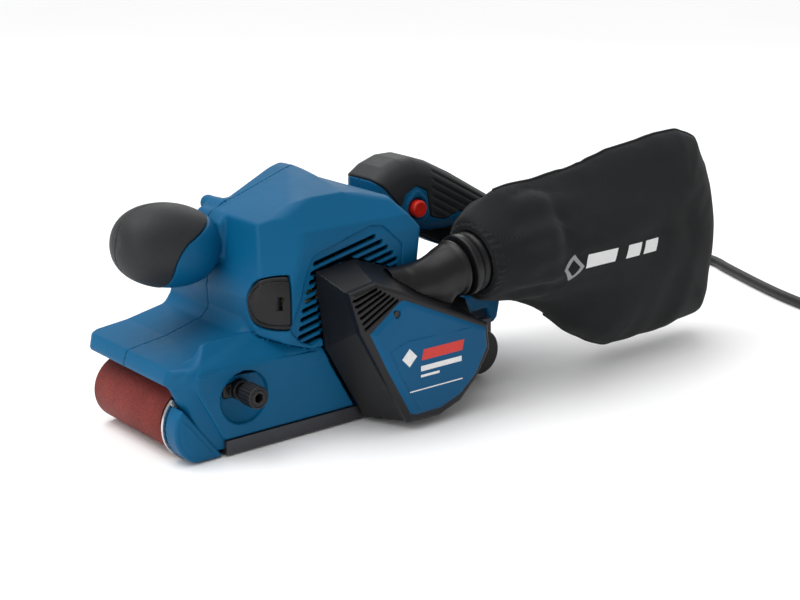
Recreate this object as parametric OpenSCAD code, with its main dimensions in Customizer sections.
// Handheld belt sander for 75 x 533 mm belts.
// Origin: middle of the sole on the ground. +X points to the nose, +Y to the drive side, +Z up.

/* [Sanding belt] */
// Width of the sanding belt
belt_w = 75; // [70:1:80]
// Distance between the two roller axes
axle_gap = 205; // [204:0.5:206]
// Outer radius of the belt where it turns
belt_r = 20; // [20:0.5:20.5]
// Thickness of the abrasive belt
belt_t = 1; // [0.8:0.1:1]

/* [Housing] */
// Wall thickness of the plastic shells
wall = 3; // [2.5:0.5:3.5]
// Outer face of the drive side skirt
skirt_y = 58; // [57:0.5:58]
// Outer face of the motor block on the drive side
block_y = 60; // [59:0.5:60]
// Outer face of the motor block on the open side
open_y = 44; // [43.5:0.5:46]
// Number of air slots in each side of the motor block
vent_count = 9; // [5:1:9]

/* [Motor and drive] */
// Radius of the stator
stator_r = 33; // [31:0.5:33]
// Radius of the armature
armature_r = 18.4; // [17:0.1:18.5]
// Radius of the motor pulley
motor_pulley_r = 8.5; // [8:0.5:8.5]
// Radius of the large countershaft pulley
counter_pulley_r = 26; // [22:1:26]
// Radius of the small countershaft pulley
small_pulley_r = 6.5; // [6:0.5:7]
// Radius of the pulley on the drive roller
roller_pulley_r = 10.4; // [10:0.2:10.4]

/* [Handles] */
// Half thickness of the rear handle
handle_half = 18; // [17:0.5:20]
// Length of the front knob
knob_len = 64; // [60:1:68]
// Radius of the front knob
knob_r = 24; // [22:1:25]

/* [Dust bag] */
// Half thickness of the filled dust bag
bag_half = 30; // [24:1:34]

/* [Mains lead] */
// Diameter of the lead
cord_d = 7.6; // [6:0.2:8]
// Outer radius of the wound lead
coil_r = 51; // [48:1:52]

/* [Hidden] */
$fn = 64;
gap = 0.3;
blue = [0.02, 0.27, 0.48];
black = [0.08, 0.08, 0.09];
steel = [0.72, 0.73, 0.75];
axle_x = axle_gap / 2;
axle_z = belt_r;
roller_r = belt_r - belt_t - gap;
roller_y = belt_w / 2 - 0.5;
belt_y = belt_w / 2;
tunnel_r = belt_r + 2.5;
frame_y0 = belt_y + 1;
frame_y1 = frame_y0 + 5;
motor_x = 16;
motor_z = 82;
counter_x = -36;
counter_z = 38;
plate_y0 = skirt_y;
plate_y1 = skirt_y + 3;
drive_y0 = 67;
drive_y1 = 76;
transfer_y0 = 45;
transfer_y1 = 50;
tooth_t = 1.2;
knob_x = 92;
knob_z = 111;
elbow_y = 70;
elbow_tilt = 8;
elbow_x = -58;
elbow_z = 85.5;
bag_y = 64;
tracking_x = 80;
tracking_z = 37;
lever_x = 40;
lever_y = -46;
lever_z = 24;
lock_x = -77;
lock_z = 111;
coil_x = -434;
coil_y = 142;
coil_bore = 27;
coil_h = 34.4;
cord_route = [[-206, 0, 46.5], [-223, 0, 40], [-240, -1, 31.5], [-257, -4, 22], [-275, -9, 13],
  [-294, -16, 6.8], [-315, -25, 4], [-338, -36, 4], [-362, -48, 4], [-387, -59, 4], [-410, -67, 4],
  [-429, -67, 4], [-440, -56, 4], [-439, -40, 4], [-431, -22, 4], [-421, 2, 4], [-411, 27, 4],
  [-402, 52, 4], [-395, 77, 4], [-391, 100, 4], [-388, 118, 4], [-387, 130, 4]];

// An outline in X and Z, made solid from y0 to y1
module along_y(y0, y1) {
  translate([0, y1, 0]) rotate([90, 0, 0]) linear_extrude(y1 - y0) children();
}

// An outline in Y and Z, made solid from x0 to x1
module along_x(x0, x1) {
  translate([x0, 0, 0]) rotate([90, 0, 90]) linear_extrude(x1 - x0) children();
}

module along_z(z0, z1) {
  translate([0, 0, z0]) linear_extrude(z1 - z0) children();
}

// A round bar along Y, centred on x and z
module rod_y(x, z, r, y0, y1) {
  translate([x, y1, z]) rotate([90, 0, 0]) cylinder(r = r, h = y1 - y0);
}

module rod_x(y, z, r, x0, x1) {
  translate([x0, y, z]) rotate([0, 90, 0]) cylinder(r = r, h = x1 - x0);
}

module ring_y(x, z, r_out, r_in, y0, y1) {
  difference() {
    rod_y(x, z, r_out, y0, y1);
    rod_y(x, z, r_in, y0 - 1, y1 + 1);
  }
}

module box(low, high) {
  translate(low) cube(high - low);
}

function lerp(a, b, t) = a + (b - a) * t;
function unit(v) = v / norm(v);
function outline_arc(x, z, r, a0, a1, n) =
  [for (i = [0:n]) [x + r * cos(lerp(a0, a1, i / n)), z + r * sin(lerp(a0, a1, i / n))]];

// A belt's loop around two pulleys: the outline between its tangent lines
function loop_outline(xa, za, ra, xb, zb, rb, n = 16) =
  let (d = norm([xb - xa, zb - za]), dir = atan2(zb - za, xb - xa), t = acos((ra - rb) / d))
    concat(outline_arc(xa, za, ra, dir + t, dir + 360 - t, n),
      outline_arc(xb, zb, rb, dir - t, dir + t, n));

module belt_loop(xa, za, ra, xb, zb, rb, t, y0, y1) {
  along_y(y0, y1) difference() {
    polygon(loop_outline(xa, za, ra + t, xb, zb, rb + t));
    polygon(loop_outline(xa, za, ra, xb, zb, rb));
  }
}

// The stadium that two equal rollers make, as exact lines and arcs
module stadium(r) {
  translate([-axle_x, axle_z]) circle(r);
  translate([axle_x, axle_z]) circle(r);
  translate([-axle_x, axle_z - r]) square([axle_gap, 2 * r]);
}

// Rings of a tube swept along points, joined into one closed solid
function path_dir(p, i) = unit(p[min(i + 1, len(p) - 1)] - p[max(i - 1, 0)]);
function path_side(p, i) = unit(cross(path_dir(p, i), [0, 0, 1]));
function path_up(p, i) = cross(path_side(p, i), path_dir(p, i));
module tube(p, r, sides) {
  last = (len(p) - 1) * sides;
  points = [for (i = [0:len(p) - 1]) for (k = [0:sides - 1]) let (a = 360 * k / sides)
    p[i] + r * (cos(a) * path_side(p, i) + sin(a) * path_up(p, i))];
  skin = [for (i = [0:len(p) - 2]) for (k = [0:sides - 1]) let (n = (k + 1) % sides)
    [i * sides + k, i * sides + n, (i + 1) * sides + n, (i + 1) * sides + k]];
  caps = [[for (k = [sides - 1:-1:0]) k], [for (k = [0:sides - 1]) last + k]];
  polyhedron(points, concat(skin, caps), convexity = 8);
}

// ---- Housing ----

deck_side = [[124, 45], [120, 54.5], [95, 58], [66, 66], [-46, 66], [-58, 54], [-100, 54], [-122, 60],
  [-131, 56], [-134, 48], [-131, 34], [-126, 30], [-120, 42], [97, 42]];
skirt_side = [[121.5, 45], [96.5, 10], [-54, 10], [-54, 66], [95, 66]];
deck_front = [[-50, 28], [-50, 50], [-41, 66.5], [45, 66.5], [skirt_y, 50], [skirt_y, 9],
  [44.5, 9], [44.5, 28]];
deck_plan = [[124, -40], [124, 44], [108, skirt_y], [-62, skirt_y], [-66, 41], [-134, 36],
  [-134, -36], [-66, -46], [-46, -50], [112, -50]];
block_side = [[65, 50], [66, 84], [63, 98], [60, 134], [3, 147], [-2, 138], [-30, 131], [-46, 112],
  [-43, 84], [-46, 50]];
block_front = [[block_y, 50], [block_y + 1, 112], [59, 121], [46, 137], [20, 144], [0, 148], [-12, 147],
  [-36, 136], [-open_y, 124], [-open_y, 50]];
block_plan = [[68, -open_y], [68, 45], [50, block_y + 2], [-50, block_y + 2], [-50, -open_y]];

module deck(inset) {
  intersection() {
    along_y(-60, 70) offset(delta = -inset) polygon(deck_side);
    along_x(-140, 130) offset(delta = -inset) polygon(deck_front);
    along_z(0, 160) offset(delta = -inset) polygon(deck_plan);
  }
}

module skirt(inset) {
  intersection() {
    along_y(44.5, skirt_y - inset) offset(delta = -inset) polygon(skirt_side);
    along_x(-140, 130) polygon(deck_front);
    along_z(0, 160) polygon(deck_plan);
  }
}

module motor_block(inset) {
  intersection() {
    along_y(-70, 70) offset(delta = -inset) polygon(block_side);
    along_x(-60, 80) offset(delta = -inset) polygon(block_front);
    along_z(40, 160) offset(delta = -inset) polygon(block_plan);
    // The far top corner is cut back
    translate([60, 0, 134]) rotate([0, 50, -60]) translate([-200, -200, -300 - inset]) cube([400, 400, 300]);
  }
}

// Slanted air slots through the side walls, all at one angle
slot_ends = [[33, -12], [34, -18], [36, -23], [37, -27], [40, 22], [41, 24], [42, 23], [40, 24], [33, 21]];
module air_slots() {
  for (i = [0:vent_count - 1]) {
    x0 = slot_ends[i][1];
    x1 = slot_ends[i][0];
    z0 = 109 - 6.3 * i - 0.22 * x0;
    z1 = 109 - 6.3 * i - 0.22 * x1;
    along_y(-2 * block_y, 2 * block_y)
      polygon([[x0, z0 - 1.5], [x1, z1 - 1.5], [x1, z1 + 1.5], [x0, z0 + 1.5]]);
  }
}

module housing() {
  difference() {
    union() {
      deck(0);
      skirt(0);
      motor_block(0);
    }
    deck(wall);
    box([-52, -47, 47], [62, 44, 62]);
    box([-50, 47.5, 12], [92, skirt_y - wall, 48]);
    motor_block(wall);
    along_y(-61, belt_y + 2) stadium(tunnel_r);
    // The drive side opens into the belt cover, which sits in a shallow seat
    along_y(58.1, 70) offset(delta = 0.3) polygon(cover_base);
    box([-60, 43.6, 12], [-22, 51, 52]);
    housing_screw_holes();
    along_y(50, 70) polygon([[26, 52], [30, 94], [5, 96], [-20, 86], [-60, 64], [-60, 10], [2, 10]]);
    air_slots();
    // Round seat of the brush cap, on the chamfered corner
    rod_x(56, 85, 20.3, 51, 80);
    // Slot that the tracking knob's neck runs in
    box([73, 50, 32], [88, 60, 42]);
    box([-120, 39, -1], [-54, 70, 41]);
    box([-68, 40.5, 40], [-54, 70, 60]);
    // Rear window that the dust elbow and the handle close
    box([-60, -12, 96], [-40, 12, 122]);
  }
}

module housing_left() {
  color(blue) intersection() {
    housing();
    box([-150, 0, 0], [150, 80, 160]);
  }
}

module housing_right() {
  color(blue) intersection() {
    housing();
    box([-150, -80, 0], [150, 0, 160]);
  }
}

screw_spots = [[50, 126], [-12, 122], [112, 49], [-22, 58], [-112, 48]];
module housing_screws() {
  color(steel) for (s = screw_spots) {
    rod_y(s[0], s[1], 1.8, -20, 20);
    rod_y(s[0], s[1], 3.2, -22, -20);
  }
}

module housing_screw_holes() {
  for (s = screw_spots) {
    rod_y(s[0], s[1], 1.85, -20.5, 20.3);
    rod_y(s[0], s[1], 3.4, -60, -19.95);
  }
}

// ---- Sanding unit ----

module sanding_frame() {
  color([0.35, 0.36, 0.38]) difference() {
    union() {
      box([-80, -36, 3.8], [78, frame_y0, 9]);
      box([-80, -30, 9], [20, -26, 34]);
      box([-80, 26, 9], [20, 30, 34]);
      box([-80, -26, 9], [-76, 26, 34]);
      box([-6, -16, 9], [40, 16, 31]);
      along_y(frame_y0, frame_y1) polygon([[-118, 8], [-104, 4], [50, 4], [50, 38], [-118, 38]]);
      box([-118, -frame_y1, 8], [-60, -frame_y0, 32]);
      box([-78, -frame_y0 - 1, 4], [-60, -36, 9]);
      box([33, -52, 9], [47, -36, 16.7]);
      box([33, -38.5, 4], [47, -36, 36]);
      box([33, -52, 31.3], [47, -36, 36]);
      box([-70, frame_y1, 1.5], [92, skirt_y - 1, 9.6]);
      box([-70, frame_y1 - 1, 4], [50, frame_y1 + 1, 9.6]);
    }
    box([-8, -8.3, 14.7], [42, 8.3, 25.3]);
    rod_y(-axle_x, axle_z, 11.05, -60, 60);
    translate([lever_x, lever_y, 0]) cylinder(r = 3.02, h = 50);
    for (x = [-62, -40, -18]) box([x, -20, 3], [x + 14, 20, 10]);
    box([-120, 35, 3], [-80, frame_y0, 40]);
  }
}

module sole_plate() {
  color(steel) box([-80, -36, 2.4], [78, 36, 3.8]);
}

module sole_pad() {
  color(black) box([-80, -36, 1.05], [78, 36, 2.4]);
}

module sanding_belt() {
  color([0.35, 0.13, 0.1]) along_y(-belt_y, belt_y) difference() {
    stadium(belt_r);
    stadium(belt_r - belt_t);
  }
}

module drive_roller() {
  color([0.6, 0.6, 0.62]) ring_y(-axle_x, axle_z, roller_r - 2.5, 6, -roller_y, roller_y);
}

module roller_sleeve() {
  color(black) ring_y(-axle_x, axle_z, roller_r, roller_r - 2.5, -roller_y, roller_y);
}

module drive_shaft() {
  color(steel) rod_y(-axle_x, axle_z, 6, -frame_y1, 50.3);
}

module drive_shaft_bearings() {
  color(steel) {
    ring_y(-axle_x, axle_z, 11, 6.05, frame_y0, frame_y1);
    ring_y(-axle_x, axle_z, 11, 6.05, -frame_y1, -frame_y0);
  }
}

module front_roller() {
  color([0.6, 0.6, 0.62]) difference() {
    ring_y(axle_x, axle_z, roller_r, 7, -roller_y, roller_y);
    rod_y(axle_x, axle_z, 9.5, roller_y - 6, roller_y + 1);
    rod_y(axle_x, axle_z, 9.5, -roller_y - 1, -roller_y + 6);
  }
}

module front_roller_bearings() {
  color(steel) {
    ring_y(axle_x, axle_z, 9.5, 5.05, roller_y - 6, roller_y);
    ring_y(axle_x, axle_z, 9.5, 5.05, -roller_y, -roller_y + 6);
  }
}

module front_axle() {
  color(steel) rod_y(axle_x, axle_z, 5, -frame_y0 - 3.7, frame_y0 + 3.2);
}

module tension_yoke() {
  color([0.5, 0.51, 0.53]) difference() {
    union() {
      box([60, -frame_y0 - 3.5, 12], [68, frame_y0 + 3.2, 28]);
      box([60, frame_y0 - 0.3, 12], [106, frame_y0 + 3.2, 28]);
      box([60, -frame_y0 - 3.5, 12], [106, -frame_y0 + 0.3, 28]);
      rod_y(axle_x, axle_z, 9, frame_y0 - 0.3, frame_y0 + 3.2);
      rod_y(axle_x, axle_z, 9, -frame_y0 - 3.5, -frame_y0 + 0.3);
      box([8, -8, 15], [60, 8, 25]);
    }
    rod_y(axle_x, axle_z, 5, -60, 60);
  }
}

// A compression spring that pushes the yoke forward
module coil_spring(length, r, wire, turns) {
  steps = turns * 10;
  tube([for (i = [0:steps]) let (a = 360 * turns * i / steps)
    [r * cos(a), r * sin(a), wire + (length - 2 * wire) * i / steps]], wire, 6);
}

module tension_spring() {
  color(steel) translate([-5.5, 0, 20]) rotate([0, 90, 0]) coil_spring(13, 3.6, 0.7, 4);
}

module tension_lever() {
  color(black) difference() {
    union() {
      translate([lever_x, lever_y, 17]) cylinder(r = 6, h = 14);
      box([-2, lever_y - 6, 19], [lever_x, lever_y - 1.5, 29]);
      rod_x(lever_y - 3.8, 24, 2.2, -14, -2);
      box([-14, lever_y - 6, 20], [-2, lever_y - 1.5, 28]);
    }
    translate([lever_x, lever_y, 0]) cylinder(r = 3.06, h = 50);
  }
}

module lever_pin() {
  color(steel) translate([lever_x, lever_y, 9]) cylinder(r = 3, h = 27);
}

// The guard fills the corner in front of the skirt's slanted edge
module guard_outline(r, x_cut) {
  intersection() {
    translate([axle_x, axle_z]) circle(r);
    translate([-200, 0.8]) square([400, 60]);
    polygon([[x_cut, -5], [x_cut + 2, 2], [120.5, 36.5], [130, 36.5], [130, -5]]);
  }
}

module front_side_guard() {
  color(blue) along_y(frame_y1 + 0.5, skirt_y - 2) guard_outline(21, 92);
}

module wear_rim() {
  color(steel) along_y(frame_y0 + 3.6, frame_y1 + 0.5) intersection() {
    translate([axle_x, axle_z]) circle(22);
    translate([-200, 0.6]) square([400, 35.5]);
    translate([92, 0]) square([60, 60]);
  }
}

module tracking_knob() {
  color(black) difference() {
    union() {
      rod_y(tracking_x, tracking_z, 8, 61, 75);
      rod_y(tracking_x, tracking_z, 3.5, 50, 61);
    }
    translate([tracking_x, 66, tracking_z]) rotate([-90, 0, 0]) cylinder(r = 3.4, h = 10, $fn = 6);
  }
}

module tracking_bush() {
  color(black) difference() {
    box([73.3, 52, 32.3], [87.7, 59.5, 41.7]);
    rod_y(tracking_x, tracking_z, 3.56, 45, 70);
  }
}

// ---- Motor ----

module motor_stator() {
  color([0.45, 0.45, 0.47]) difference() {
    intersection() {
      rod_y(motor_x, motor_z, stator_r, -28, 14);
      box([motor_x - 29, -40, motor_z - 40], [motor_x + 29, 20, motor_z + 40]);
    }
    rod_y(motor_x, motor_z, 19, -50, 30);
  }
}

module field_coils() {
  color([0.7, 0.35, 0.15]) {
    ring_y(motor_x, motor_z, 28, 20, -34, -28);
    ring_y(motor_x, motor_z, 28, 20, 14, 19);
  }
}

module armature_core() {
  color([0.5, 0.4, 0.35]) difference() {
    rod_y(motor_x, motor_z, armature_r, -28, 14);
    rod_y(motor_x, motor_z, 4, -50, 30);
    for (a = [0:30:330])
      translate([motor_x, 0, motor_z]) rotate([0, a, 0])
        box([armature_r - 3, -30, -1], [armature_r + 2, 16, 1]);
  }
}

module motor_shaft() {
  color(steel) rod_y(motor_x, motor_z, 4, -open_y + wall, 79);
}

module commutator() {
  color([0.75, 0.42, 0.2]) ring_y(motor_x, motor_z, 11, 4, 41, 54);
}

module cooling_fan() {
  color(black) difference() {
    union() {
      ring_y(motor_x, motor_z, 29, 4, 20, 22);
      ring_y(motor_x, motor_z, 10, 4, 22, 34);
      for (a = [0:36:324])
        translate([motor_x, 0, motor_z]) rotate([0, a, 0]) box([9, 22, -0.8], [28, 32, 0.8]);
    }
    rod_y(motor_x, motor_z, 4, 0, 50);
  }
}

module motor_bearings() {
  color(steel) {
    ring_y(motor_x, motor_z, 9.5, 4.05, plate_y0 - 3, plate_y1);
    ring_y(motor_x, motor_z, 9.5, 4.05, -open_y + wall, -open_y + wall + 5);
  }
}

module brush_holders() {
  color([0.75, 0.6, 0.3]) for (s = [-1, 1]) translate([motor_x, 0, motor_z])
    rotate([0, s < 0 ? 180 : 0, 0]) difference() {
      box([13, 43, -6], [37, 53.2, 6]);
      box([12, 44.6, -4.2], [40, 51.7, 4.2]);
    }
}

module carbon_brushes() {
  color(black) for (s = [0, 180]) translate([motor_x, 0, motor_z]) rotate([0, s, 0])
    box([11.4, 44.9, -3.8], [28, 51.4, 3.8]);
}

module brush_cap() {
  color(black) difference() {
    rod_x(56, 85, 20, 52, 67.2);
    motor_block(wall);
    box([40, block_y + 1, 60], [70, 80, 110]);
    translate([68, 45, 0]) rotate([0, 0, 43]) box([0.6, -40, 60], [30, 60, 110]);
    box([60, 45, 83.8], [80, 52, 86.2]);
  }
}

// ---- Drive ----

cover_base = [[32, 98], [5, 101], [-18, 93], [-30, 87], [-80, 62], [-82, 36], [-70, 14], [-50, 4],
  [-2, 3], [26, 52]];
cover_face = [[30, 91], [11, 94], [-9, 85.5], [-73, 55], [-75, 38], [-65, 22], [-52, 10], [-36, 4.5],
  [-12, 5.5], [22, 66]];
cover_y = 91;
lobe_r = 14.4;
lobe_y1 = 52.5;

module bearing_plate() {
  color([0.55, 0.56, 0.58]) difference() {
    along_y(plate_y0, plate_y1) offset(delta = -4.2) polygon(cover_base);
    rod_y(motor_x, motor_z, 9.55, 50, 70);
    rod_y(counter_x, counter_z, 9.05, 50, 70);
    box([-45, 50, 70], [-30, 70, 74]);
  }
}

module toothed_pulley(x, z, r, bore, teeth, y0, y1) {
  difference() {
    rod_y(x, z, r, y0, y1);
    rod_y(x, z, bore, y0 - 1, y1 + 1);
    for (i = [0:teeth - 1]) translate([x, 0, z]) rotate([0, 360 * i / teeth, 0])
      box([r - 0.9, y0 - 1, -0.7], [r + 1, y1 + 1, 0.7]);
  }
}

module motor_pulley() {
  color(steel) toothed_pulley(motor_x, motor_z, motor_pulley_r, 4, 15, drive_y0, drive_y1);
}

module drive_belt() {
  color(black) belt_loop(motor_x, motor_z, motor_pulley_r + gap, counter_x, counter_z,
    counter_pulley_r + gap, tooth_t, drive_y0, drive_y1);
}

module counter_pulley() {
  color([0.2, 0.2, 0.21])
    toothed_pulley(counter_x, counter_z, counter_pulley_r, 5, 46, drive_y0, drive_y1);
}

module countershaft() {
  color(steel) rod_y(counter_x, counter_z, 5, 44.5, 79);
}

module countershaft_bearings() {
  color(steel) ring_y(counter_x, counter_z, 9, 5.05, plate_y0 - 3, plate_y1);
}

module small_pulley() {
  color(steel)
    toothed_pulley(counter_x, counter_z, small_pulley_r, 5, 11, transfer_y0, transfer_y1);
}

module transfer_belt() {
  color(black) belt_loop(counter_x, counter_z, small_pulley_r + gap, -axle_x, axle_z,
    roller_pulley_r + gap, tooth_t, transfer_y0, transfer_y1);
}

module roller_pulley() {
  color([0.2, 0.2, 0.21])
    toothed_pulley(-axle_x, axle_z, roller_pulley_r, 6, 18, transfer_y0, transfer_y1);
}

// The shell tapers outward, and a low lobe covers the pulley on the drive roller
module cover_taper(y0, y1, inset) {
  hull() {
    along_y(y0, y0 + 0.1) offset(delta = -inset) polygon(cover_base);
    along_y(y1 - 6, y1 - 5.9) offset(delta = -inset - 0.6) polygon(cover_face);
  }
  hull() {
    along_y(y1 - 6, y1 - 5.9) offset(delta = -inset - 0.6) polygon(cover_face);
    along_y(y1 - 0.1, y1) offset(delta = -inset - 2.4) polygon(cover_face);
  }
}

module cover_lobe(r, y0, y1) {
  rod_y(-axle_x, axle_z, r, y0, y1);
  along_y(y0, y1) polygon([[-axle_x, axle_z + r], [-62, axle_z + r + 11], [-62, axle_z - r + 8],
    [-axle_x, axle_z - r]]);
}

module belt_cover() {
  color(black) difference() {
    union() {
      cover_taper(plate_y1, cover_y, 0);
      along_y(plate_y0 + 0.3, plate_y1) polygon(cover_base);
      cover_lobe(lobe_r, frame_y1 + 0.5, lobe_y1);
      along_y(lobe_y1 - 1, plate_y1) polygon([[-62, 52], [-76, 58], [-80, 36], [-70, 18], [-62, 14]]);
    }
    cover_taper(plate_y0, cover_y - 2.4, 2.3);
    along_y(plate_y0 - 1, plate_y1 + 1) offset(delta = -4) polygon(cover_base);
    cover_lobe(lobe_r - 2, frame_y1 - 1, lobe_y1 - 2);
    for (i = [0:3]) box([18 - 9 * i - 2, 68, 85 - 4 * i], [18 - 9 * i + 2, 86, 110]);
  }
}

panel_face = [[20, 66], [-3, 82.5], [-8, 83.5], [-72, 54.5], [-74, 40], [-65, 24], [-52, 13], [-36, 7.5],
  [-16, 7.5], [-11, 9.5], [7, 41]];
module cover_panel() {
  color(blue) difference() {
    along_y(cover_y, cover_y + 2.2) polygon(panel_face);
    rod_y(-1.5, 74, 2.2, cover_y - 1, cover_y + 4);
  }
}

module cover_screws() {
  color([0.2, 0.2, 0.2]) rod_y(-1.5, 74, 2, cover_y, cover_y + 1.2);
}

// ---- Dust extraction ----

module elbow_frame() {
  translate([elbow_x, elbow_y, elbow_z]) rotate([0, -90 + elbow_tilt, 0]) children();
}

module dust_elbow() {
  color(black) difference() {
    union() {
      elbow_frame() {
        translate([0, 0, -26]) cylinder(r1 = 10.5, r2 = 15.8, h = 29);
        cylinder(r = 14, h = 32);
      }
      box([-48, 62, 72], [-30, 80, 90]);
    }
    elbow_frame() {
      translate([0, 0, -27]) cylinder(r = 8.2, h = 22);
      translate([0, 0, -5.1]) cylinder(r1 = 8.2, r2 = 12, h = 12);
      translate([0, 0, 6.8]) cylinder(r = 12, h = 40);
    }
    along_y(50, 100) polygon(cover_base);
    box([-60, 50, 40], [-10, 61.5, 120]);
  }
}

module bag_collar() {
  color(black) elbow_frame() difference() {
    union() {
      translate([0, 0, 8]) cylinder(r = 18, h = 26);
      translate([0, 0, 8]) cylinder(r = 19, h = 6);
    }
    translate([0, 0, 3]) cylinder(r = 14.06, h = 40);
  }
}

// The filled bag is a lens: full size at its seam, drawn in on both faces
bag_side = [[-80, 104], [-101, 118], [-124, 123], [-159, 130], [-194, 141], [-241, 146], [-260, 146],
  [-281, 140], [-292, 122], [-304, 82], [-305, 57], [-300, 29], [-291, 12], [-240, 8], [-201, 6],
  [-182, 16], [-149, 39], [-112, 63], [-84, 70]];
module dust_bag() {
  color([0.06, 0.06, 0.065]) difference() {
    hull() {
      along_y(bag_y - 3, bag_y + 3) polygon(bag_side);
      along_y(bag_y - bag_half, bag_y + bag_half) offset(delta = -24) polygon(bag_side);
      elbow_frame() translate([0, 0, 20]) cylinder(r = 22, h = 4, $fn = 32);
    }
    elbow_frame() translate([0, 0, -40]) cylinder(r = 80, h = 62);
    elbow_frame() cylinder(r = 19.4, h = 34.5);
  }
}

// ---- Rear handle ----

handle_side = [[-46, 97], [-46, 132], [-55, 138], [-67, 142], [-78, 142], [-90, 138], [-110, 128],
  [-152, 104], [-163, 93], [-168, 76], [-166, 60], [-158, 50], [-134, 48], [-131, 57], [-140, 64],
  [-145, 73], [-140, 83], [-128, 90], [-112, 92], [-88, 93], [-72, 97], [-60, 98]];
grip_side = [[-41, 150], [-41, 136], [-66, 112], [-66, 124], [-88, 124], [-88, 103], [-100, 101],
  [-112, 104], [-122, 102], [-142, 94], [-152, 80], [-153, 64], [-180, 64], [-180, 110], [-120, 150]];

module handle() {
  difference() {
    along_y(-handle_half, handle_half) polygon(handle_side);
    along_y(-handle_half + wall, handle_half - wall) offset(delta = -wall - 2) polygon(handle_side);
    // Seat that the soft grip fills
    difference() {
      along_y(-handle_half - 1, handle_half + 1) polygon(grip_side);
      along_y(-handle_half + 1.5, handle_half - 1.5) offset(delta = -2) polygon(handle_side);
    }
    // Trigger slot
    box([-129, -8.3, 78], [-81, 8.3, 98]);
    rod_y(lock_x, lock_z, 5.8, 0, 30);
    translate([-172, 0, 60]) rotate([0, 70, 0]) cylinder(r = 7.6, h = 30);
  }
}

module handle_left() {
  color(blue) intersection() {
    handle();
    box([-200, 0, 0], [0, 60, 200]);
  }
}

module handle_right() {
  color(blue) intersection() {
    handle();
    box([-200, -60, 0], [0, 0, 200]);
  }
}

module handle_grip() {
  color(black) difference() {
    intersection() {
      along_y(-handle_half - 0.6, handle_half + 0.6) polygon(handle_side);
      along_y(-handle_half - 1, handle_half + 1) polygon(grip_side);
    }
    along_y(-handle_half + 1.45, handle_half - 1.45) offset(delta = -1.95) polygon(handle_side);
    translate([-172, 0, 60]) rotate([0, 70, 0]) cylinder(r = 7.6, h = 30);
  }
}

trigger_side = [[-83, 94], [-83, 91.5], [-88, 89.5], [-101, 83], [-113, 78], [-122, 78.5], [-127, 83],
  [-127, 94]];
module trigger() {
  color(black) difference() {
    union() {
      along_y(-8, 8) polygon(trigger_side);
      rod_y(-85.5, 93.4, 2.4, -8, 8);
    }
    box([-122, -5, 84], [-110, 5, 95]);
  }
}

module trigger_spring() {
  color(steel) translate([-116, 0, 84.2]) coil_spring(12, 3.4, 0.6, 5);
}

module switch_body() {
  color([0.15, 0.15, 0.16]) box([-124, -10, 99], [-88, 10, 110]);
}

module lock_button() {
  color([0.8, 0.06, 0.05]) {
    rod_y(lock_x, lock_z, 5.5, 14, 22.5);
    rod_y(lock_x, lock_z, 3, 2, 14);
  }
}

// ---- Front knob ----

// An egg: the half outline's radius follows a sine, fuller towards its nose
function egg_r(t) = knob_r * sin(180 * t) ^ 0.62 * (0.93 + 0.12 * t);
module egg(grow) {
  translate([knob_x, 0, knob_z]) rotate([0, 84, 0]) translate([0, 0, -knob_len / 2])
    rotate_extrude() polygon(concat([[0, -grow]], [for (i = [1:17]) [egg_r(i / 18) + grow,
      knob_len * (1 - cos(10 * i)) / 2]], [[0, knob_len + grow]]));
}

// The soft cap covers the front and the top, the hard base the rear and the neck
module cap_side(shift) {
  translate([72 + shift * 0.75, 0, 106 + shift * 0.66]) rotate([0, 49, 0])
    translate([-60, -60, 0]) cube([120, 120, 90]);
}

module knob_cap() {
  color(black) intersection() {
    egg(0);
    cap_side(0);
  }
}

module knob_base() {
  color(blue) difference() {
    union() {
      egg(0);
      intersection() {
        translate([78, 0, 104]) rotate([0, -128, 0]) cylinder(r1 = 17, r2 = 15, h = 40);
        box([60, -30, 60], [100, 30, 130]);
      }
    }
    cap_side(0);
    along_y(-70, 70) polygon([[0, 0], [65, 0], [66, 84], [63, 98], [60, 134], [60, 160], [0, 160]]);
    box([0, -60, 0], [130, 60, 66.5]);
  }
}

// ---- Mains lead ----

module strain_relief() {
  color(black) translate([-163.5, 0, 63.5]) rotate([0, -110, 0]) {
    cylinder(r = 7.4, h = 8);
    translate([0, 0, 8]) cylinder(r1 = 7, r2 = 4.6, h = 37);
  }
}

module power_cord() {
  color(black) tube(cord_route, cord_d / 2, 8);
}

module cord_coil() {
  color(black) translate([coil_x, coil_y, 0.2]) rotate_extrude() translate([coil_bore, 0])
    square([coil_r - coil_bore, coil_h]);
}

module plug() {
  color(black) translate([coil_x + 14, coil_y - 31, coil_h + 0.4]) {
    translate([-14, -19, 0]) cube([30, 38, 20]);
    for (s = [-1, 1]) rod_x(9.5 * s, 10, 2.4, 16, 35);
  }
}

housing_left();
housing_right();
housing_screws();
sanding_frame();
sole_plate();
sole_pad();
sanding_belt();
drive_roller();
roller_sleeve();
drive_shaft();
drive_shaft_bearings();
front_roller();
front_roller_bearings();
front_axle();
tension_yoke();
tension_spring();
tension_lever();
lever_pin();
front_side_guard();
wear_rim();
tracking_knob();
tracking_bush();
motor_stator();
field_coils();
armature_core();
motor_shaft();
commutator();
cooling_fan();
motor_bearings();
brush_holders();
carbon_brushes();
brush_cap();
bearing_plate();
motor_pulley();
drive_belt();
counter_pulley();
countershaft();
countershaft_bearings();
small_pulley();
transfer_belt();
roller_pulley();
belt_cover();
cover_panel();
cover_screws();
dust_elbow();
bag_collar();
dust_bag();
handle_left();
handle_right();
handle_grip();
trigger();
trigger_spring();
lock_button();
switch_body();
knob_base();
knob_cap();
strain_relief();
power_cord();
cord_coil();
plug();
